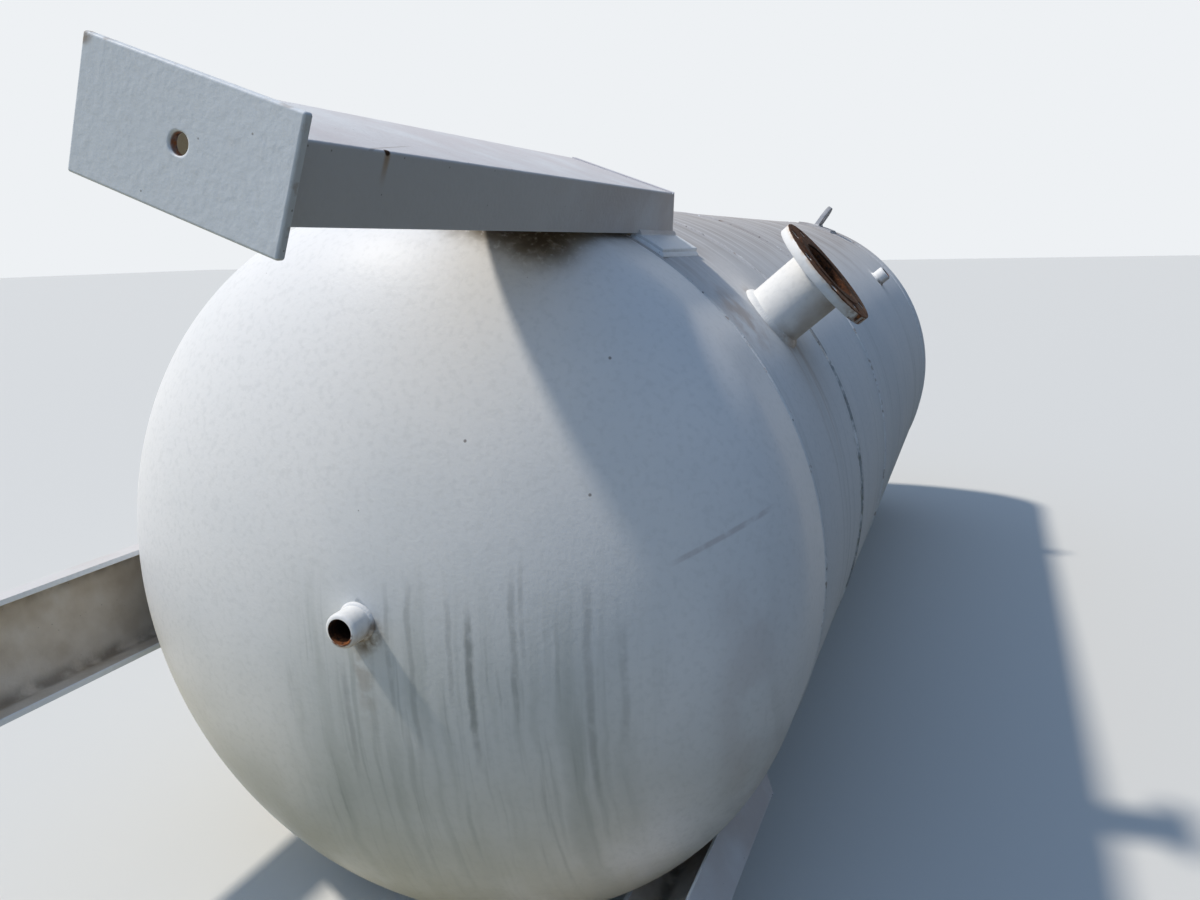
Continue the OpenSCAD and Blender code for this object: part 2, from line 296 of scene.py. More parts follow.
def head_enamel():
    """Enamel of the near head: dull grey runs below its middle, dark mildew with painted shade under the
    top leg, and brown dirt with painted shade below the drain.
    """
    coat = enamel("white_enamel_head")
    coat.lay("#a8a489", coat.mask((coat.z, 0.05, -0.50), coat.patches(0.12, 0.2, 0.65), 0.6), 0.5)
    zone = coat.mask((coat.z, 0.16, -0.08), (coat.z, -0.55, -0.25), (coat.x, -0.16, -0.02),
                     (coat.x, 0.50, 0.32))
    coat.lay("#a9b0ab", coat.mask(zone, 0.4))
    middling = coat.runs(coat.x, coat.z, 0.010, 0.20, 0.52, 0.76)
    coat.lay("#8b938d", coat.mask(zone, middling, 0.30), 0.5)
    fine = coat.runs(coat.x, coat.z, 0.007, 0.12, 0.56, 0.80, 7.3)
    coat.lay("#737b75", coat.mask(zone, fine, 0.30), 0.55)
    broad = coat.runs(coat.x, coat.z, 0.024, 0.30, 0.48, 0.72, 3.1)
    coat.lay("#9aa098", coat.mask(zone, broad, 0.35))
    crooked = coat.wavered(coat.x, 0.006)
    broken = coat.patches(0.012, 0.15, 0.55, 3.0)
    for x, top, bottom, width, strength in LONG_RUNS:
        line = coat.mask((coat.off(crooked, x), width, 0.2 * width), (coat.z, top + 0.02, top - 0.04),
                         (coat.z, bottom - 0.03, bottom + 0.07), broken, strength)
        coat.lay("#4f5652", line, 0.65)
    rim = coat.mask((coat.z, 0.30, -0.1), (coat.y, -0.16, -0.03))
    coat.lay("#9da39d", coat.mask(rim, coat.runs(coat.x, coat.z, 0.014, 0.4, 0.52, 0.74, 5.2), 0.25))
    across = coat.wavered(coat.along(tuple(sideways(TOP_CLOCK))), 0.012, 0.02)
    under = coat.wavered(coat.along(tuple(outward(TOP_CLOCK))), 0.010, 0.02)
    # Mildew with painted shade under the top leg: dark brown laid in the channel's shelter, darkest next to
    # its toes.
    mildew_and_shade_zone = coat.mask((across, 0.120, 0.040), coat.patches(0.004, 0.05, 0.5, 5.0))
    pale_mildew_and_shade = coat.patches(0.03, 0.1, 0.5)
    coat.lay("#8f8473", coat.mask(mildew_and_shade_zone, (under, 0.535, 0.575), pale_mildew_and_shade, 0.85), 0.7)
    dark_mildew_and_shade = coat.patches(0.010, 0.1, 0.5)
    coat.lay("#4d4235", coat.mask(mildew_and_shade_zone, (under, 0.546, 0.582), dark_mildew_and_shade, 0.95), 0.8)
    scuff = node(coat.tree, "Math", {0: coat.x, 1: -SCUFF_SLOPE, 2: coat.z}, operation="MULTIPLY_ADD")
    rubbed = coat.mask((coat.off(scuff, SCUFF_Z), 0.006, 0.002), (coat.x, 0.45, 0.48),
                       (coat.x, 0.57, 0.55), coat.patches(0.015, 0.3, 0.55), 0.35)
    coat.lay("#a08f8b", rubbed)
    band = coat.mask((coat.off(coat.x, BROWN_BAND_X), 0.05, 0.01), (coat.z, 0.12, 0.02),
                     coat.patches(0.05, 0.3, 0.6), 0.2)
    coat.lay("#a9948c", band)
    below_drain = coat.mask((coat.off(coat.wavered(coat.x, 0.01), DRAIN_X + 0.005), 0.022, 0.006),
                            (coat.z, 0.02, -0.01), (coat.z, -0.16, -0.02))
    coat.lay("#8f7f6a", coat.mask(below_drain, coat.patches(0.012, 0.3, 0.6), 0.45), 0.6)
    # Brown dirt with painted shade just below and right of the drain socket.
    low_side = tuple(DRAIN + np.array([0.012, 0.0, -0.014]))
    drain_dirt_and_shade = coat.mask(coat.near(low_side, 0.018, 0.018), coat.patches(0.008, 0.3, 0.6), 0.8)
    coat.lay("#6f604f", drain_dirt_and_shade, 0.7)
    coat.specks(0.06, 0.0009, 0.3, 0.5)
    for speck in SPECKS:
        coat.lay("#5c5249", coat.mask(coat.near(speck, 0.0012, 0.0018), 0.7), 0.7)
    return coat.done()


GIRTH_YS = [round((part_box(f"girth_weld_{i}")[0].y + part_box(f"girth_weld_{i}")[1].y) / 2 - AXIS[1], 3)
            for i in (1, 2, 3, 4)]
# On the shell: how much algae each girth weld has, the clock angle where the dust lies thickest, and the
# place of a brown stain.
ALGAE = (0.08, 0.6, 0.04, 0.03)
DUSTY_CLOCK = -0.15
BROWN_STAIN = (0.45, 0.20, 0.41)
NOZZLE_CLOCK = radians(49.85)
NOZZLE_Y = 0.373
NOZZLE_R = 0.1143 / 2
NOZZLE_FOOT = SHELL_R * outward(NOZZLE_CLOCK) + NOZZLE_Y * ALONG


def weathered(name):
    """Enamel of the shell: a brownish film of dust on top, washed into runs that follow the plate round,
    thin dark algae along the girth welds, and dirt below the nozzle."""
    coat = enamel(name, rough=0.75, shine=0.04)
    clock = node(coat.tree, "Math", {0: coat.x, 1: coat.z}, operation="ARCTAN2")
    around = node(coat.tree, "Math", {0: clock, 1: SHELL_R}, operation="MULTIPLY")
    off_top = coat.off(clock, DUSTY_CLOCK)
    top = coat.mask((off_top, 1.10, 0.55), (coat.y, FAR_TANGENT + 0.25, FAR_TANGENT - 0.05))
    coat.lay("#bbb7b5", coat.mask(top, 0.9), 0.7)
    coat.lay("#a39b96", coat.mask(top, coat.patches(0.07, 0.45, 0.65), 0.45), 0.55)
    washed = coat.runs(coat.y, around, 0.011, 0.7, 0.50, 0.70, 1.7)
    coat.lay("#e4e2e1", coat.mask(top, washed, 0.7))
    dirty = coat.runs(coat.y, around, 0.016, 0.5, 0.48, 0.74, 4.4)
    coat.lay("#9a928d", coat.mask(top, dirty, 0.4), 0.6)
    faint = coat.runs(coat.y, around, 0.022, 0.8, 0.5, 0.76, 9.1)
    coat.lay("#a3a8a5", coat.mask((coat.z, 0.50, 0.05), faint, 0.28))
    coat.lay("#9b9c89", coat.mask((coat.z, -0.05, -0.55), coat.patches(0.1, 0.3, 0.7), 0.55))
    for girth, algae in zip(GIRTH_YS, ALGAE):
        off = coat.off(coat.y, girth)
        side = coat.mask((coat.z, 0.50, 0.36), algae)
        line = coat.mask((off, 0.0108, 0.0085), coat.patches(0.02, 0.32, 0.5))
        coat.lay("#505a60", coat.mask(line, side), 0.7)
        beside = coat.mask((off, 0.045, 0.010), (coat.z, 0.30, 0.05), coat.patches(0.006, 0.5, 0.62))
        coat.lay("#8b8a76", coat.mask(beside, algae), 0.7)
    stain = coat.mask(coat.near(BROWN_STAIN, 0.02, 0.08), coat.patches(0.02, 0.3, 0.6), 0.55)
    coat.lay("#b7a190", stain)
    foot_dirt = coat.near(tuple(NOZZLE_FOOT), NOZZLE_R, 0.03)
    coat.lay("#a3907f", coat.mask(foot_dirt, coat.patches(0.015, 0.35, 0.65), 0.5), 0.6)
    foot_z = NOZZLE_FOOT[2]
    below = coat.mask((coat.off(coat.y, NOZZLE_Y), 0.065, 0.02), (coat.z, foot_z, foot_z - 0.06),
                      (coat.z, foot_z - 0.40, foot_z - 0.08), (coat.x, 0.0, 0.2))
    trickles = coat.runs(coat.y, around, 0.010, 0.3, 0.42, 0.66, 2.2)
    coat.lay("#a8927e", coat.mask(below, trickles, 0.4), 0.6)
    coat.specks(0.07, 0.0010, 0.3, 0.5)
    return coat


def bare_inside():
    """Mill scale under a skin of fine rust: dull, and nearly black where no light gets in."""
    steel = Finish("rusty_mill_scale", "#3a3430", 0.8)
    steel.rust(steel.patches(0.04, 0.4, 0.7), 0.7)
    return steel.done()


head_paint = head_enamel()
shell_paint = weathered("white_enamel_shell").done()
inside_steel = bare_inside()


def paint_plate(piece, outside):
    """Paints a plate of the vessel outside, and leaves its inside bare."""
    piece.data.materials.clear()
    piece.data.materials.append(outside)
    piece.data.materials.append(inside_steel)
    for face in piece.data.polygons:
        from_axis = np.array(face.center) - AXIS
        from_axis[1] -= min(max(from_axis[1], 0.0), FAR_TANGENT)
        face.material_index = 1 if np.dot(from_axis, face.normal) < 0 else 0


def dish(tangent, facing, skin):
    """Half ellipse and straight flange of a head, moved in by skin, as (radius, distance) points."""
    points = []
    for angle in np.radians(np.linspace(0, 90, 61)):
        bulge = (HEAD_DEPTH - skin) * cos(angle)
        points.append(((SHELL_R - skin) * sin(angle), tangent + facing * bulge))
    for part in (0.5, 0.8, 1.0):
        points.append((SHELL_R - skin, tangent - facing * HEAD_STRAIGHT * part))
    return points


near_head = spin("near_head_plate", dish(0, -1, 0) + dish(0, -1, PLATE)[::-1])
drill(near_head, AXIS + DRAIN, -ALONG, COUPLING_R)
paint_plate(near_head, head_paint)
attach(near_head, "root")
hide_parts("near_head")

far_head = spin("far_head_plate", dish(FAR_TANGENT, 1, 0) + dish(FAR_TANGENT, 1, PLATE)[::-1])
paint_plate(far_head, shell_paint)
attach(far_head, "root")
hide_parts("far_head")

# Shell: three courses of 8 mm plate, rolled and butt-welded. Rolled plate is never quite true:
# it draws in a little beside each weld, which shows in the paint's reflections.
DRAW_IN = 0.0012
DRAW_WIDTH = 0.035
FAR_COUPLING_Y = 2.135
FAR_COUPLING_FOOT = SHELL_R * outward(NOZZLE_CLOCK) + FAR_COUPLING_Y * ALONG

for index in (1, 2, 3):
    low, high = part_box(f"shell_course_{index}")
    start, end = low.y - AXIS[1], high.y - AXIS[1]
    stations = start + (end - start) * (1 - np.cos(np.linspace(0, pi, 33))) / 2
    from_weld = np.minimum(stations - start, end - stations)
    radii = SHELL_R - DRAW_IN * np.exp(-((from_weld - DRAW_WIDTH / 2) / DRAW_WIDTH) ** 2)
    inside = [(SHELL_R - PLATE, station) for station in stations[::-1]]
    course = spin(f"shell_plate_{index}", list(zip(radii, stations)) + inside)
    if index == 1:
        drill(course, AXIS + NOZZLE_FOOT, outward(NOZZLE_CLOCK), NOZZLE_R)
    if index == 3:
        drill(course, AXIS + FAR_COUPLING_FOOT, outward(NOZZLE_CLOCK), COUPLING_R)
    paint_plate(course, shell_paint)
    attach(course, "root")
    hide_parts(f"shell_course_{index}")

# Girth and long welds: butt welds laid in one pass by an automatic head, and painted over.
# The bead is 14 mm wide and 2 mm high, with fine ripples across it that catch the light.
BEAD_W = 0.014
BEAD_H = 0.002
BEAD_SUNK = 0.0015
RIPPLE = 0.006
RIPPLE_H = 0.00025


def weld_enamel():
    """Enamel over a weld bead: as the shell's, with brown and dark spots, and glossy near-white spots in
    patches as painted glints.
    """
    coat = weathered("white_enamel_weld")
    coat.lay("#8d7460", coat.mask(coat.patches(0.012, 0.60, 0.70), 0.6), 0.6)
    coat.lay("#4c453f", coat.mask(coat.patches(0.004, 0.66, 0.72), 0.7), 0.6)
    # Painted glints: glossy near-white spots in patches.
    coat.lay("#f7f8f9", coat.mask(coat.patches(0.007, 0.36, 0.28, 2.0), 0.8), 0.2)
    return coat.done()


def bead(name, path, across, up, closed):
    """A low rippled weld bead along a path; across and up give its width and height directions."""
    travelled = np.concatenate([[0], np.cumsum(np.linalg.norm(np.diff(path, axis=0), axis=1))])
    widths = np.linspace(-1, 1, 9)
    rings = []
    for point, side, top, distance in zip(path, across, up, travelled):
        ripple = RIPPLE_H * (0.5 + 0.5 * cos(2 * pi * distance / RIPPLE))
        rise = (BEAD_H - ripple) * (1 - widths ** 2) ** 0.7
        crown = point + np.outer(widths * BEAD_W / 2, side) + np.outer(rise, top)
        root = point + np.outer(widths[::-2] * BEAD_W / 2, side) - BEAD_SUNK * np.asarray(top)
        rings.append(np.vstack([crown, root]))
    return loft(name, rings, closed, sharp=60)


weld_paint = weld_enamel()
for index, middle in enumerate(GIRTH_YS, 1):
    count = int(2 * pi * SHELL_R / RIPPLE) * 4
    ups = [outward(clock) for clock in np.arange(count) * 2 * pi / count]
    path = [AXIS + SHELL_R * up + middle * ALONG for up in ups]
    weld = bead(f"girth_bead_{index}", path, [ALONG] * count, ups, closed=True)
    weld.data.materials.append(weld_paint)
    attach(weld, "root")
    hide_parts(f"girth_weld_{index}")

for index in (1, 2, 3):
    low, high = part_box(f"long_weld_{index}")
    middle = (np.array(low) + np.array(high)) / 2 - AXIS
    clock = atan2(middle[0], middle[2])
    count = int((high.y - low.y) / RIPPLE) * 4
    steps = np.linspace(low.y, high.y, count) - AXIS[1]
    path = [AXIS + SHELL_R * outward(clock) + step * ALONG for step in steps]
    ups = [outward(clock)] * count
    weld = bead(f"long_bead_{index}", path, [sideways(clock)] * count, ups, closed=False)
    weld.data.materials.append(weld_paint)
    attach(weld, "root")
    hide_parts(f"long_weld_{index}")

# Legs: three rolled steel channels, web outwards, mitred at the top, where a plate closes them. The toes
# rest on rolled pads. A channel has rounded toes and a fillet in each inside corner, from the mill.
PAD_R = SHELL_R + 0.010
CHANNEL_W = 0.190
CHANNEL_H = 0.069
WEB = 0.008
FLANGE = 0.010
LEG_LAP = 0.313
MITRE = radians(43)
CAP_T = 0.008
TOE_R = sqrt(PAD_R ** 2 - (CHANNEL_W / 2) ** 2)
CORNER_R = 0.003
ROOT_R = 0.010
TOE_ROUND = 0.004
BASE_W = 0.223
BASE_H = 0.113
ANCHOR_HOLE_R = 0.009
BASE_T = 0.010
CHIP_Y = -0.575
SCRATCH_SLOPE = 0.35
SCRATCH_AT = -0.115


def leg_enamel(name, clock, foot, marked):
    """Enamel of a leg: thick and lumpy on the base plate; on the channel greyer outside, and grey-brown
    with dust inside, with painted shade in its inside corners. There is rust at the anchor hole, and on the
    top leg a worn corner, a rusty chip and a scratch."""
    coat = enamel(name, "#e4e8ec", 0.0)
    across = coat.along(sideways(clock))
    up = coat.along(outward(clock), TOE_R)
    wide = coat.off(across, 0.0)
    plate = coat.mask((coat.y, foot + 0.0005, foot - 0.0005))
    channel = coat.mask((coat.y, foot + 0.0005, foot + 0.001))
    coat.emboss(coat.mask(plate, coat.patches(0.0035, 0.2, 0.8, 3.0)), 0.0002)
    coat.emboss(coat.mask(channel, coat.patches(0.003, 0.2, 0.8, 2.0)), 0.00025)
    wall, ceiling = CHANNEL_W / 2 - FLANGE, CHANNEL_H - WEB
    inside = coat.mask(channel, (wide, wall + 0.001, wall), (up, ceiling + 0.001, ceiling))
    coat.lay("#d0c6b8", coat.mask(inside, coat.patches(0.06, 0.0, 0.5), 0.9), 0.7)
    coat.lay("#9c8b74", coat.mask(inside, coat.patches(0.03, 0.3, 0.85), 0.5), 0.8)
    # Painted shade: dark brown-grey in the inside corners, where the web meets the flanges.
    corner = coat.mask(inside, (wide, wall - 0.03, wall), (up, CHANNEL_H - 0.035, ceiling))
    coat.lay("#5d5347", coat.mask(corner, coat.patches(0.02, 0.3, 0.6), 0.7), 0.8)
    # The flanges' outer faces are laid greyer, and browner towards the vessel.
    flank = coat.mask(channel, (wide, CHANNEL_W / 2 - 0.001, CHANNEL_W / 2 - 0.0005),
                      (up, CHANNEL_H + 0.002, CHANNEL_H - 0.004), (up, -0.002, 0.002))
    coat.lay("#c8c5c4", coat.mask(flank, 0.75), 0.5)
    coat.lay("#b0a39d", coat.mask(flank, (coat.y, -0.45, 0.2), coat.patches(0.06, 0.2, 0.6), 0.6))
    web = coat.mask(channel, (up, CHANNEL_H - 0.003, CHANNEL_H - 0.0005))
    coat.lay("#cfc9cb", coat.mask(web, coat.patches(0.05, 0.1, 0.7), 0.8), 0.5)
    coat.specks(0.013, 0.0008, 0.25, 0.6)
    middle = coat.off(up, CHANNEL_H / 2)
    hole = coat.from_line(tuple((TOE_R + CHANNEL_H / 2) * outward(clock)), tuple(ALONG))
    rim = (coat.wavered(hole, 0.003, 0.004), ANCHOR_HOLE_R + 0.003, ANCHOR_HOLE_R + 0.001)
    coat.lay("#9c8468", coat.mask(plate, rim, (coat.z, AXIS[2], -AXIS[2]), 0.8), 0.6)
    bore = coat.mask((hole, ANCHOR_HOLE_R + 0.0006, ANCHOR_HOLE_R), (coat.y, foot + 0.001, foot))
    coat.rust(bore, 0.8)
    side_edge = coat.mask((wide, BASE_W / 2 - 0.003, BASE_W / 2 - 0.001))
    long_edge = coat.mask((middle, BASE_H / 2 - 0.003, BASE_H / 2 - 0.001))
    edge = node(coat.tree, "Math", {0: side_edge, 1: long_edge}, operation="MAXIMUM")
    coat.lay("#a08a74", coat.mask(plate, edge, coat.patches(0.009, 0.58, 0.68), 0.4), 0.7)
    if marked:
        worn = (TOE_R + (CHANNEL_H + BASE_H) / 2) * outward(clock) - BASE_W / 2 * sideways(clock)
        worn = tuple(worn + (foot - BASE_T) * ALONG)
        bare = coat.mask(coat.near(worn, 0.005, 0.010), coat.patches(0.004, 0.3, 0.55), 0.85)
        coat.lay("#8f7558", bare, 0.8)
        chip = (TOE_R + CHANNEL_H) * outward(clock) + CHANNEL_W / 2 * sideways(clock) + CHIP_Y * ALONG
        trail = coat.mask((coat.off(coat.wavered(coat.y, 0.003), CHIP_Y + 0.001), 0.006, 0.001),
                          (up, CHANNEL_H - 0.035, CHANNEL_H - 0.004))
        coat.lay("#a98457", coat.mask(flank, trail, 0.7), 0.7)
        coat.lay("#3f2c1f", coat.near(tuple(chip), 0.0032, 0.002), 0.9)
        slant = node(coat.tree, "Math", {0: coat.y, 1: SCRATCH_SLOPE, 2: across},
                     operation="MULTIPLY_ADD")
        scratch = coat.mask(web, (coat.off(slant, SCRATCH_AT), 0.0016, 0.0006), (coat.y, -0.66, -0.62),
                            (coat.y, -0.46, -0.52), 0.6)
        coat.lay("#9a928e", scratch)
    return coat.done()


def arc(centre, radius, start, end, steps=6):
    """Points of an arc, from one angle to another in degrees."""
    return [(centre[0] + radius * cos(a), centre[1] + radius * sin(a))
            for a in np.radians(np.linspace(start, end, steps))]


def channel_outline():
    """Outline of the channel as (across, height above the toes), web at the top."""
    half, inner = CHANNEL_W / 2, CHANNEL_W / 2 - FLANGE
    right = [(half, 0)] + arc((half - CORNER_R, CHANNEL_H - CORNER_R), CORNER_R, 0, 90)
    outside = right + [(-x, z) for x, z in right[::-1]]
    toe = [(-inner - TOE_ROUND * 0.4, 0.0006)]
    toe += arc((-inner - TOE_ROUND, 0.0014 + TOE_ROUND), TOE_ROUND, -60, 0)
    root = arc((-inner + ROOT_R, CHANNEL_H - WEB - ROOT_R), ROOT_R, 180, 90)
    inside = toe + root
    return np.array(outside + inside + [(-x, z) for x, z in inside[::-1]])


def soften(name, width):
    """Rounds the edges of a carried-over piece, as grinding and thick paint leave them."""
    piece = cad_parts[name]
    join = piece.modifiers.new("join", "WELD")
    join.merge_threshold = 1e-6
    bevel = piece.modifiers.new("edges", "BEVEL")
    bevel.limit_method = "ANGLE"
    bevel.angle_limit = radians(40)
    bevel.width = width
    bevel.segments = 3
    bevel.harden_normals = True
    return piece


outline = channel_outline()
leg_paints, leg_clocks, plate_backs = {}, {}, {}
for side in ("top", "left", "right"):
    low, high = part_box(f"base_plate_{side}")
    middle = (np.array(low) + np.array(high)) / 2 - AXIS
    leg_clocks[side] = clock = atan2(middle[0], middle[2])
    plate_backs[side] = foot = high.y - AXIS[1]
    leg_paints[side] = leg_enamel(f"white_enamel_leg_{side}", clock, foot, side == "top")
    head_end = LEG_LAP - outline[:, 1] * tan(MITRE) - CAP_T / cos(MITRE)
    section = AXIS + np.outer(outline[:, 0], sideways(clock))
    section = section + np.outer(outline[:, 1] + TOE_R, outward(clock))
    rings = []
    for part in np.linspace(0, 1, 25):
        rings.append(section + np.outer(foot + (head_end - foot) * part, ALONG))
    leg = loft(f"channel_leg_{side}", rings, closed=False, sharp=50)
    leg.data.materials.append(leg_paints[side])
    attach(leg, "root")
    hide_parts(f"leg_{side}")
    for name, width in (("base_plate", 0.0028), ("leg_cap", 0.001), ("leg_pad", 0.002)):
        soften(f"{name}_{side}", width).material_slots[0].material = leg_paints[side]

# Leg welds: hand-laid fillets round each pad, where the leg's toes and closing plate sit on it, over the
# mitre, and where each leg stands on its base plate. Their size drifts a little, as a hand does.
HAND_RIPPLE = 0.0045
STEP = 0.0015
PAD_HALF_W = 0.143
PAD_START = 0.133
PAD_END = 0.323
PAD_FILLET = 0.005
SEAT_FILLET = 0.006
PLATE_FILLET = 0.005
CAP_FILLET = 0.002


def walk(corners, closed):
    """Steps along flat straight runs, anticlockwise: each step's place and its outward direction."""
    corners = [np.array(corner, float) for corner in corners]
    total = len(corners)
    runs = total if closed else total - 1
    headings = [corners[(i + 1) % total] - corners[i] for i in range(runs)]
    aways = [np.array([h[1], -h[0]]) / np.linalg.norm(h) for h in headings]
    places, outs = [], []
    for i in range(runs):
        count = max(2, int(np.linalg.norm(headings[i]) / STEP))
        for part in np.linspace(0, 1, count):
            places.append(corners[i] + headings[i] * part)
            outs.append(aways[i])
        if closed or i < runs - 1:
            for part in (0.25, 0.5, 0.75):
                turned = aways[i] * (1 - part) + aways[(i + 1) % runs] * part
                places.append(corners[(i + 1) % total])
                outs.append(turned / np.linalg.norm(turned))
    return places, outs


def fillet(name, corners, walls, bases, leg, closed):
    """A hand-laid weld bead in a corner; walls and bases lead from it along the two pieces it joins."""
    travelled = np.concatenate([[0], np.cumsum(np.linalg.norm(np.diff(corners, axis=0), axis=1))])
    turn = np.linspace(0, 1, 7)[:, None]
    rings = []
    for corner, wall, base, distance in zip(corners, walls, bases, travelled):
        ripple = 0.05 * cos(2 * pi * distance / HAND_RIPPLE)
        drift = 0.05 * sin(distance * 61) + 0.04 * sin(distance * 143 + 1)
        size = leg * (1 + drift)
        wall, base = np.asarray(wall), np.asarray(base)
        bulge = (0.55 + ripple) * size * turn * (1 - turn) * (wall + base)
        face = corner + size * ((1 - turn) * base + turn * wall) + bulge
        root = corner - 0.001 * (wall + base)
        rings.append(np.vstack([face, root]))
    return loft(name, rings, closed, sharp=60)


def on_shell(radius, clock, across, along):
    """A point at a radius, so far across from a clock angle, and the clock angle where it lies."""
    local = clock + asin(across / radius)
    return AXIS + radius * outward(local) + along * ALONG, local


def pad_weld(name, clock, radius, half_across, start, end, wall, leg):
    """Fillet right round a rectangular foot on a round surface."""
    foot = [(half_across, start), (half_across, end), (-half_across, end), (-half_across, start)]
    places, outs = walk(foot, closed=True)
    corners, bases = [], []
    for (across, along), (out_across, out_along) in zip(places, outs):
        point, local = on_shell(radius, clock, across, along)
        corners.append(point)
        bases.append(out_across * sideways(local) + out_along * ALONG)
    return fillet(name, corners, [wall] * len(corners), bases, leg, closed=True)


for side, clock in leg_clocks.items():
    up, across_way = outward(clock), sideways(clock)
    slope = cos(MITRE) * up - sin(MITRE) * ALONG
    welds = [pad_weld(f"pad_weld_{side}", clock, SHELL_R, PAD_HALF_W, PAD_START, PAD_END, up,
                      PAD_FILLET)]

    half = CHANNEL_W / 2
    seat = [(half, PAD_START), (half, LEG_LAP), (-half, LEG_LAP), (-half, PAD_START)]
    places, outs = walk(seat, closed=False)
    corners, walls, bases = [], [], []
    for (across, along), (out_across, out_along) in zip(places, outs):
        lift = sqrt(PAD_R ** 2 - across ** 2) - TOE_R
        point, local = on_shell(PAD_R, clock, across, along - lift * tan(MITRE))
        tilt = max(out_along, 0.0)
        corners.append(point)
        walls.append((1 - tilt) * up + tilt * slope)
        bases.append(out_across * sideways(local) + out_along * ALONG)
    welds.append(fillet(f"seat_weld_{side}", corners, walls, bases, SEAT_FILLET, closed=False))

    foot = [(half, 0), (half, CHANNEL_H), (-half, CHANNEL_H), (-half, 0)]
    places, outs = walk(foot, closed=False)
    back = AXIS + plate_backs[side] * ALONG
    corners = [back + a * across_way + (TOE_R + h) * up for a, h in places]
    bases = [a * across_way + h * up for a, h in outs]
    welds.append(fillet(f"base_weld_{side}", corners, [ALONG] * len(corners), bases, PLATE_FILLET,
                        closed=False))

    web_end = LEG_LAP - CHANNEL_H * tan(MITRE) - CAP_T / cos(MITRE)
    line = np.arange(-half, half, STEP)
    top_edge = AXIS + (TOE_R + CHANNEL_H) * up + web_end * ALONG
    corners = [top_edge + a * across_way for a in line]
    welds.append(fillet(f"cap_weld_{side}", corners, [slope] * len(line), [-ALONG] * len(line),
                        CAP_FILLET, closed=False))
    for weld in welds:
        weld.data.materials.append(leg_paints[side])
        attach(weld, "root")

# Nozzle: a stub of 4 inch pipe set through the shell, with a slip-on flange cut from 20 mm plate.
# It is welded at its foot and on both sides of the flange. The face was left bare and has rusted.
PIPE_WALL = 0.006
PIPE_IN = SHELL_R - PLATE - 0.012
FACE_R = SHELL_R + 0.128
FLANGE_T = 0.020
RAISED_H = 0.002
PIPE_OUT = FACE_R - RAISED_H - PIPE_WALL
GROOVE = 0.0025
FOOT_FILLET = 0.009
BACK_FILLET = 0.006
INNER_FILLET = 0.005
RING_STEPS = 300
RAISED_R = 0.151 / 2
BORE_R = NOZZLE_R - PIPE_WALL
NOZZLE_OUT = outward(NOZZLE_CLOCK)
NOZZLE_SIDE = sideways(NOZZLE_CLOCK)


def turned(name, foot, direction, side, profile, steps=144):
    """Turns a closed outline of (radius, height) about an axis; the outline may change with the angle."""
    other = np.cross(direction, side)
    rings = []
    for angle in np.arange(steps) * 2 * pi / steps:
        points = np.asarray(profile(angle) if callable(profile) else profile, float)
        ray = cos(angle) * side + sin(angle) * other
        rings.append(foot + points[:, :1] * ray + points[:, 1:] * direction)
    return loft(name, rings, closed=True)


def neck_enamel():
    """Enamel of the nozzle's pipe: clean on top, painted brown shade underneath, and brown dirt low down by
    the flange and the shell. Its bore is bare and rusty, darkened nearly black as painted shade.
    """
    coat = enamel("white_enamel_nozzle", "#f1f0ed")
    out = coat.along(tuple(NOZZLE_OUT))
    low = coat.along(tuple(NOZZLE_SIDE))
    away = coat.from_line(tuple(NOZZLE_FOOT), tuple(NOZZLE_OUT))
    # Painted brown shade on the pipe's underside.
    coat.lay("#bfb0a3", coat.mask((low, 0.010, 0.05), coat.patches(0.03, 0.25, 0.6), 0.6), 0.5)
    by_flange = coat.mask((low, 0.02, 0.055), (out, FACE_R - 0.06, FACE_R - 0.02),
                          coat.patches(0.012, 0.35, 0.62), 0.6)
    coat.lay("#a08a76", by_flange, 0.6)
    by_shell = coat.mask((low, 0.0, 0.05), (out, SHELL_R + 0.03, SHELL_R),
                         coat.patches(0.012, 0.3, 0.6), 0.7)
    coat.lay("#97836f", by_shell, 0.6)
    coat.specks(0.03, 0.0009, 0.3, 0.5)
    bore = coat.mask((away, NOZZLE_R - 0.0015, NOZZLE_R - 0.003))
    end = coat.mask((out, FACE_R - FLANGE_T + 0.004, FACE_R - FLANGE_T + 0.006))
    bare = node(coat.tree, "Math", {0: bore, 1: end}, operation="MAXIMUM")
    coat.rust(bare, 1.0)
    # Painted shade: the rusty bore and pipe end darkened nearly to black.
    coat.lay("#241b17", coat.mask(bare, 0.7), 0.9)
    return coat.done()


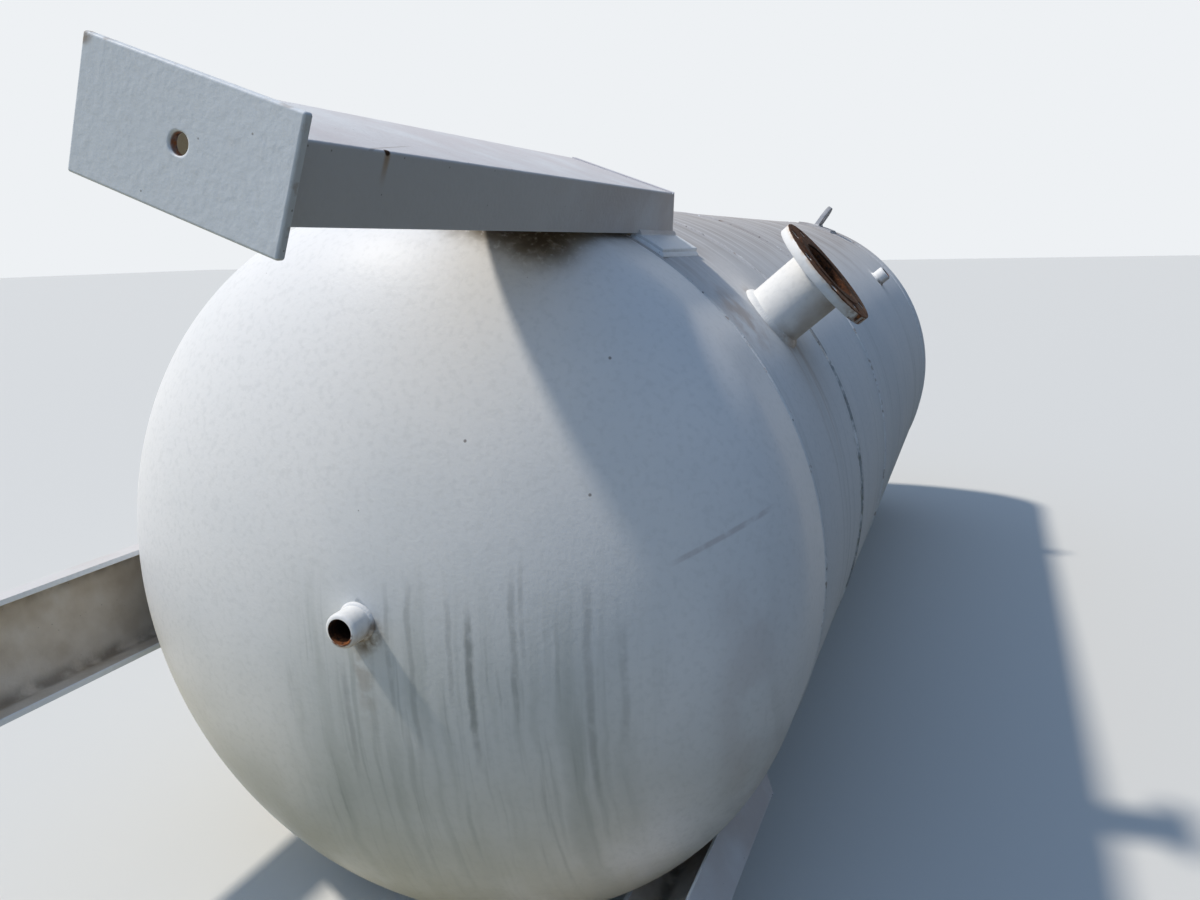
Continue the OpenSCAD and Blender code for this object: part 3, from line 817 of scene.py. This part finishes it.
def flange_finish():
    """White rim and bare face: brown and nearly black rust, with painted shade darkening the face next to
    the bore, and the serrations of a gasket face. Real ones are 0.8 mm apart and too fine to show, so they
    are drawn three times as coarse."""
    coat = enamel("white_enamel_and_rusty_face", "#f1f0ed")
    out = coat.along(tuple(NOZZLE_OUT))
    low = coat.along(tuple(NOZZLE_SIDE))
    away = coat.from_line(tuple(NOZZLE_FOOT), tuple(NOZZLE_OUT))
    face = coat.mask((coat.wavered(out, 0.0012, 0.006), FACE_R - 0.0040, FACE_R - 0.0028))
    low_rim = coat.mask((low, 0.070, 0.100), coat.patches(0.01, 0.38, 0.56))
    front_edge = coat.mask((out, FACE_R - 0.011, FACE_R - 0.003), coat.patches(0.008, 0.35, 0.6), 0.55)
    coat.lay("#c9a578", front_edge, 0.6)
    low_edge = coat.mask((low, 0.045, 0.095), (out, FACE_R - 0.018, FACE_R - 0.004),
                         coat.patches(0.01, 0.35, 0.6), 0.7)
    coat.lay("#a37a50", low_edge, 0.7)
    coat.rust(node(coat.tree, "Math", {0: face, 1: low_rim}, operation="MAXIMUM"), 1.0)
    coat.lay("#3d2d25", coat.mask(face, 0.75), 0.85)
    coat.lay("#74604f", coat.mask(face, (low, 0.0, 0.08), coat.patches(0.014, 0.42, 0.62), 0.7))
    # Rust with painted shade: a near-black ring on the face next to the bore.
    middle = coat.mask(face, (away, NOZZLE_R + 0.030, NOZZLE_R + 0.004), coat.patches(0.02, 0.3, 0.6), 0.8)
    coat.lay("#1d1714", middle, 0.9)
    wave = node(coat.tree, "Math", {0: away, 1: 2 * pi / GROOVE}, operation="MULTIPLY")
    grooves = node(coat.tree, "Math", {0: wave}, operation="SINE")
    coat.emboss(coat.mask(face, (away, RAISED_R, RAISED_R - 0.002), grooves), 0.00015)
    return coat.done()


neck_paint = neck_enamel()
neck = turned("nozzle_pipe", AXIS + NOZZLE_Y * ALONG, NOZZLE_OUT, NOZZLE_SIDE,
              [(NOZZLE_R, PIPE_IN), (NOZZLE_R, SHELL_R + 0.03), (NOZZLE_R, PIPE_OUT - 0.03),
               (NOZZLE_R, PIPE_OUT), (BORE_R, PIPE_OUT), (BORE_R, PIPE_OUT - 0.06), (BORE_R, PIPE_IN)])
neck.data.materials.append(neck_paint)
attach(neck, "root")
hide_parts("nozzle_neck")
soften("nozzle_flange", 0.0012).material_slots[0].material = flange_finish()


def foot_weld(name, clock, along, radius, leg):
    """Fillet where a round pipe stands on the shell."""
    corners, bases = [], []
    for angle in np.arange(AROUND) * 2 * pi / AROUND:
        point, local = on_shell(SHELL_R, clock, radius * sin(angle), along + radius * cos(angle))
        corners.append(point)
        bases.append(sin(angle) * sideways(local) + cos(angle) * ALONG)
    return fillet(name, corners, [outward(clock)] * len(corners), bases, leg, closed=True)


def ring_weld(name, height, wall, facing, leg):
    """Fillet round the nozzle's pipe at a height; facing is 1 outside the pipe and -1 over its end."""
    corners, bases = [], []
    for angle in np.arange(RING_STEPS) * 2 * pi / RING_STEPS:
        ray = cos(angle) * NOZZLE_SIDE + sin(angle) * ALONG
        corners.append(AXIS + NOZZLE_Y * ALONG + height * NOZZLE_OUT + NOZZLE_R * ray)
        bases.append(facing * ray)
    return fillet(name, corners, [wall] * len(corners), bases, leg, closed=True)


for weld in (foot_weld("nozzle_foot_weld", NOZZLE_CLOCK, NOZZLE_Y, NOZZLE_R, FOOT_FILLET),
             ring_weld("flange_back_weld", FACE_R - FLANGE_T, -NOZZLE_OUT, 1, BACK_FILLET),
             ring_weld("flange_inner_weld", PIPE_OUT, NOZZLE_OUT, -1, INNER_FILLET)):
    weld.data.materials.append(neck_paint)
    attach(weld, "root")

# Couplings: threaded sockets of forged steel, one in the near head as a drain and one on the shell.
# Their rims are rounded and their threads were left bare, so rust has run over the lower lip. On the
# drain it runs down and a little to the right.
SOCKET_OUT = 0.037
SOCKET_IN = -0.023
SOCKET_BORE = 0.016
RIM_R = 0.0065
THREAD = 0.0022
THREAD_DEPTH = 0.0012
MOUTH_WIDER = 0.0022
MOUTH_DEEP = 0.0016
SOCKET_FILLET = 0.004
DRAIN_RUN = np.array([0.35, 0.0, -0.94])


def socket_outline(angle):
    """Outline of a threaded socket at an angle round it, as (radius, height)."""
    rim = arc((COUPLING_R - RIM_R, SOCKET_OUT - RIM_R), RIM_R, 0, 90, 8)
    mouth = [(SOCKET_BORE + MOUTH_WIDER, SOCKET_OUT), (SOCKET_BORE + THREAD_DEPTH, SOCKET_OUT - MOUTH_DEEP)]
    thread = []
    for height in np.arange(SOCKET_OUT - 0.003, SOCKET_IN, -THREAD / 4):
        phase = (height / THREAD - angle / (2 * pi)) % 1
        thread.append((SOCKET_BORE + THREAD_DEPTH * (1 - abs(2 * phase - 1)), height))
    outside = [(COUPLING_R, SOCKET_IN), (COUPLING_R, 0.01)] + rim
    return outside + mouth + thread + [(SOCKET_BORE, SOCKET_IN)]


def socket_enamel(name, foot, direction, low_way):
    """Enamel of a socket: dirt with painted shade at its foot on the low side, orange rust over its lower
    lip, and painted shade laid nearly black in the bore, on its upper side and deep in.
    """
    coat = enamel(name, "#f4f2ef")
    out = coat.along(tuple(direction), float(np.dot(foot, direction)))
    low = coat.along(tuple(low_way), float(np.dot(foot, low_way)))
    away = coat.from_line(tuple(foot), tuple(direction))
    coat.lay("#b19e8b", coat.mask((low, 0.004, 0.022), coat.patches(0.010, 0.3, 0.6), 0.6), 0.6)
    # Brown dirt with painted shade at the socket's foot, on its low side.
    foot_dirt = coat.mask((out, 0.012, 0.002), (low, -0.004, 0.012), coat.patches(0.008, 0.3, 0.55), 0.75)
    coat.lay("#7a6a5a", foot_dirt, 0.7)
    lip = coat.mask((out, SOCKET_OUT - 0.004, SOCKET_OUT - 0.001), (low, 0.006, 0.014),
                    coat.patches(0.006, 0.35, 0.5), (away, COUPLING_R - 0.003, COUPLING_R - 0.006))
    bore = coat.mask((away, SOCKET_BORE + 0.0030, SOCKET_BORE + 0.0020))
    coat.rust(node(coat.tree, "Math", {0: lip, 1: bore}, operation="MAXIMUM"), 1.0)
    # Painted shade: the bore laid nearly black on its upper side and deeper in.
    coat.lay("#15100e", coat.mask(bore, (low, 0.012, 0.0), 0.9), 0.9)
    coat.lay("#15100e", coat.mask(bore, (out, SOCKET_OUT - 0.008, SOCKET_OUT - 0.020), 0.9), 0.9)
    return coat.done()


drain_paint = socket_enamel("white_enamel_drain_socket", DRAIN, -ALONG, DRAIN_RUN)
far_paint = socket_enamel("white_enamel_far_socket", FAR_COUPLING_FOOT, NOZZLE_OUT, NOZZLE_SIDE)

drain = turned("drain_socket", AXIS + DRAIN, -ALONG, np.array([1.0, 0.0, 0.0]), socket_outline)
drain.data.materials.append(drain_paint)
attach(drain, "root")
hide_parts("drain_coupling")

far_socket = turned("far_socket", AXIS + FAR_COUPLING_FOOT, NOZZLE_OUT, NOZZLE_SIDE, socket_outline)
far_socket.data.materials.append(far_paint)
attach(far_socket, "root")
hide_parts("far_coupling")


def dish_weld(name, leg):
    """Fillet where the drain coupling stands on the dished head."""
    corners, bases = [], []
    for angle in np.arange(RING_STEPS) * 2 * pi / RING_STEPS:
        x, z = DRAIN_X + COUPLING_R * cos(angle), DRAIN_Z + COUPLING_R * sin(angle)
        y = -HEAD_DEPTH * sqrt(1 - (x * x + z * z) / SHELL_R ** 2)
        normal = np.array([x / SHELL_R ** 2, y / HEAD_DEPTH ** 2, z / SHELL_R ** 2])
        normal /= np.linalg.norm(normal)
        ray = np.array([cos(angle), 0.0, sin(angle)])
        base = ray - normal * np.dot(ray, normal)
        corners.append(AXIS + np.array([x, y, z]))
        bases.append(base / np.linalg.norm(base))
    return fillet(name, corners, [-ALONG] * len(corners), bases, leg, closed=True)


drain_weld = dish_weld("drain_weld", SOCKET_FILLET)
far_weld = foot_weld("far_socket_weld", NOZZLE_CLOCK, FAR_COUPLING_Y, COUPLING_R, SOCKET_FILLET)
for weld, paint in ((drain_weld, drain_paint), (far_weld, far_paint)):
    weld.data.materials.append(paint)
    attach(weld, "root")

# Lifting lug: a flame-cut plate with an eye, leaning over to one side, on a small rolled pad. Both are
# of steel plate, fillet-welded right round and painted with the vessel.
LUG_PAD_R = SHELL_R + 0.008
LUG_HALF_W = 0.045
LUG_HALF_T = 0.0084
LUG_LEAN = radians(18)
LUG_FILLET = 0.005

lug_low, lug_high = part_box("lug_pad")
lug_middle = (np.array(lug_low) + np.array(lug_high)) / 2 - AXIS
lug_clock = atan2(lug_middle[0], lug_middle[2])
lug_half = (lug_high.y - lug_low.y) / 2
lug_paint = weathered("white_enamel_lug").done()
soften("lug_pad", 0.0015).material_slots[0].material = lug_paint
soften("lifting_lug", 0.0015).material_slots[0].material = lug_paint
lean = cos(LUG_LEAN) * outward(lug_clock) + sin(LUG_LEAN) * sideways(lug_clock)
lug_y = lug_middle[1]
for weld in (pad_weld("lug_pad_weld", lug_clock, SHELL_R, lug_half, lug_y - lug_half, lug_y + lug_half,
                      outward(lug_clock), LUG_FILLET),
             pad_weld("lug_weld", lug_clock, LUG_PAD_R, LUG_HALF_T, lug_y - LUG_HALF_W, lug_y + LUG_HALF_W,
                      lean, LUG_FILLET)):
    weld.data.materials.append(lug_paint)
    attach(weld, "root")

# Studio: a pale floor and surround, one lamp from the upper left with a soft edge to its shadow, and the
# camera at the photograph's angle. The light that the floor throws back is warm on the left and weak on
# the right, where the vessel's own side is dark.
LENS = 28.03
CAMERA_AT = np.array([0.8098, -1.2925, 0.5212])
CAMERA_PITCH = radians(77.783)
CAMERA_ROLL = radians(1.219)
CAMERA_HEADING = radians(21.952)
FLOOR_REACH = 60
BRIGHT_SIDE = -0.8
DARK_SIDE = 1.6
FILL_LEAST = 0.11
FILL_MOST = 0.67
LAMP_FROM = Vector((-0.53, -0.20, 0.84)).normalized()
SKY_FROM = Vector((-0.45, -0.70, 0.55)).normalized()

camera_data = bpy.data.cameras.new("camera")
camera_data.lens = LENS
camera_data.sensor_width = 36
camera = bpy.data.objects.new("camera", camera_data)
bpy.context.scene.collection.objects.link(camera)
camera.location = AXIS + CAMERA_AT
camera.rotation_euler = (CAMERA_PITCH, CAMERA_ROLL, CAMERA_HEADING)
bpy.context.scene.camera = camera

floor_paint = bpy.data.materials.new("pale_floor")
floor_paint.use_nodes = True
tree = floor_paint.node_tree
rays = node(tree, "LightPath", {}).node.outputs
seen = node(tree, "Math", {0: rays["Is Camera Ray"], 1: rays["Is Glossy Ray"]}, operation="MAXIMUM")
seen = node(tree, "Math", {0: seen, 1: rays["Is Transmission Ray"]}, operation="MAXIMUM")
place = node(tree, "TexCoord", {}, out=3)
across = node(tree, "SeparateXYZ", {0: place}, out=0)
side = node(tree, "MapRange", {0: across, 1: BRIGHT_SIDE, 2: DARK_SIDE},
            interpolation_type="SMOOTHSTEP")
ground = node(tree, "Mix", {0: side, 6: linear("#b6ae8a"), 7: linear("#424132")}, out=2,
              data_type="RGBA")
tone = node(tree, "Mix", {0: seen, 6: ground, 7: linear("#d6d6d3")}, out=2, data_type="RGBA")
tree.links.new(tone, tree.nodes["Principled BSDF"].inputs["Base Color"])
tree.nodes["Principled BSDF"].inputs["Roughness"].default_value = 0.95
floor_mesh = bpy.data.meshes.new("floor")
floor_corners = [(x * FLOOR_REACH, y * FLOOR_REACH, 0) for x, y in ((-1, -1), (1, -1), (1, 1), (-1, 1))]
floor_mesh.from_pydata(floor_corners, [], [(0, 1, 2, 3)])
floor_mesh.materials.append(floor_paint)
floor = bpy.data.objects.new("floor", floor_mesh)
bpy.context.scene.collection.objects.link(floor)

lamp_data = bpy.data.lights.new("key_lamp", "SUN")
lamp_data.angle = radians(4)
lamp_data.energy = 2.85
lamp_data.color = (1.0, 0.93, 0.83)
lamp = bpy.data.objects.new("key_lamp", lamp_data)
lamp.rotation_euler = LAMP_FROM.to_track_quat("Z", "Y").to_euler()
bpy.context.scene.collection.objects.link(lamp)

world = bpy.data.worlds.new("surround")
bpy.context.scene.world = world
world.use_nodes = True
tree = world.node_tree
towards = node(tree, "TexCoord", {}, out=0)
facing = node(tree, "VectorMath", {0: towards, 1: SKY_FROM}, out=1, operation="DOT_PRODUCT")
strength = node(tree, "MapRange", {0: facing, 1: -0.7, 2: 1.0, 3: FILL_LEAST, 4: FILL_MOST},
                interpolation_type="SMOOTHSTEP")
fill = node(tree, "Background", {"Color": linear("#b4d4ff"), "Strength": strength})
white = node(tree, "Background", {"Color": linear("#eef1f4"), "Strength": 1.0})
rays = node(tree, "LightPath", {}).node.outputs
seen = node(tree, "Math", {0: rays["Is Camera Ray"], 1: rays["Is Transmission Ray"]},
            operation="MAXIMUM")
seen = node(tree, "Math", {0: seen, 1: rays["Is Glossy Ray"]}, operation="MAXIMUM")
mixed = node(tree, "MixShader", {0: seen, 1: fill, 2: white})
tree.links.new(mixed, tree.nodes["World Output"].inputs["Surface"])

bpy.context.scene.view_settings.view_transform = "Standard"
